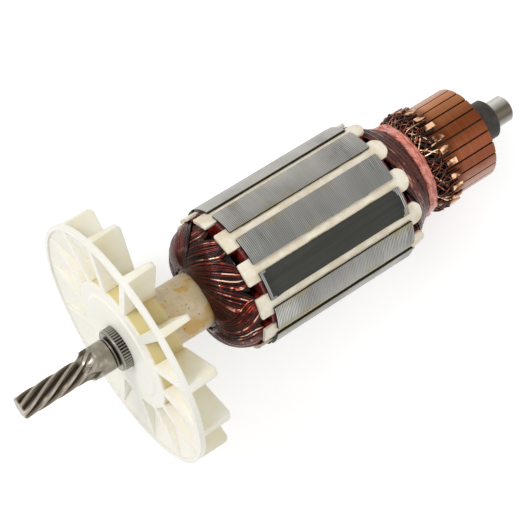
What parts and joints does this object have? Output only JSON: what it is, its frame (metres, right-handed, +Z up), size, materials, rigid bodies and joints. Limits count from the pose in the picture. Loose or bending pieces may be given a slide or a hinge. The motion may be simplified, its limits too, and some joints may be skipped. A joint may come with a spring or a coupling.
{
  "type": "motor armature",
  "caption": "Armature of a commutator motor: helical pinion shaft, radial-blade fan, slotted laminated core with wedges and varnished winding, hooked commutator and end collar.",
  "frame": {"origin": "middle of the bounding box's bottom face, on the surface that the armature lies on", "axes": "+Z up, +X from the pinion towards the commutator, level; the shaft lies in the XZ plane and dips towards +X, because the fan's two lower blades hold the drive end up"},
  "size_m": [0.1836, 0.0814, 0.081],
  "materials": {
    "shaft_steel": "ground, satin",
    "fan_plastic": "moulded, satin",
    "sleeve_plastic": "moulded, stained by varnish",
    "core_steel": "ground laminations",
    "end_disk": "pressed fibre",
    "slot_liner": "insulating paper soaked in varnish",
    "slot_wedge": "fibre strip",
    "winding_wire": "enamelled wire under glossy varnish",
    "lead_wire": "enamelled wire",
    "lashing_cord": "varnished cord",
    "bar_copper": "turned copper",
    "commutator_moulding": "moulded",
    "collar_plastic": "moulded"
  },
  "bodies": {
    "root": {"commutator_bar_01": "bar_copper", "commutator_bar_02": "bar_copper", "commutator_bar_03": "bar_copper", "commutator_bar_04": "bar_copper", "commutator_bar_05": "bar_copper", "commutator_bar_06": "bar_copper", "commutator_bar_07": "bar_copper", "commutator_bar_08": "bar_copper", "commutator_bar_09": "bar_copper", "commutator_bar_10": "bar_copper", "commutator_bar_11": "bar_copper", "commutator_bar_12": "bar_copper", "commutator_bar_13": "bar_copper", "commutator_bar_14": "bar_copper", "commutator_bar_15": "bar_copper", "commutator_bar_16": "bar_copper", "commutator_bar_17": "bar_copper", "commutator_bar_18": "bar_copper", "commutator_bar_19": "bar_copper", "commutator_bar_20": "bar_copper", "commutator_bar_21": "bar_copper", "commutator_bar_22": "bar_copper", "commutator_bar_23": "bar_copper", "commutator_bar_24": "bar_copper", "commutator_moulding": "commutator_moulding", "end_collar": "collar_plastic", "end_disk_drive": "end_disk", "end_disk_far": "end_disk", "fan": "fan_plastic", "insulating_sleeve": "sleeve_plastic", "lamination_stack": "core_steel", "lashing_cord": "lashing_cord", "leads": "lead_wire", "shaft": "shaft_steel", "slot_liner_01": "slot_liner", "slot_liner_02": "slot_liner", "slot_liner_03": "slot_liner", "slot_liner_04": "slot_liner", "slot_liner_05": "slot_liner", "slot_liner_06": "slot_liner", "slot_liner_07": "slot_liner", "slot_liner_08": "slot_liner", "slot_liner_09": "slot_liner", "slot_liner_10": "slot_liner", "slot_liner_11": "slot_liner", "slot_liner_12": "slot_liner", "slot_wedge_01": "slot_wedge", "slot_wedge_02": "slot_wedge", "slot_wedge_03": "slot_wedge", "slot_wedge_04": "slot_wedge", "slot_wedge_05": "slot_wedge", "slot_wedge_06": "slot_wedge", "slot_wedge_07": "slot_wedge", "slot_wedge_08": "slot_wedge", "slot_wedge_09": "slot_wedge", "slot_wedge_10": "slot_wedge", "slot_wedge_11": "slot_wedge", "slot_wedge_12": "slot_wedge", "winding": "winding_wire"}
  },
  "joints": []
}
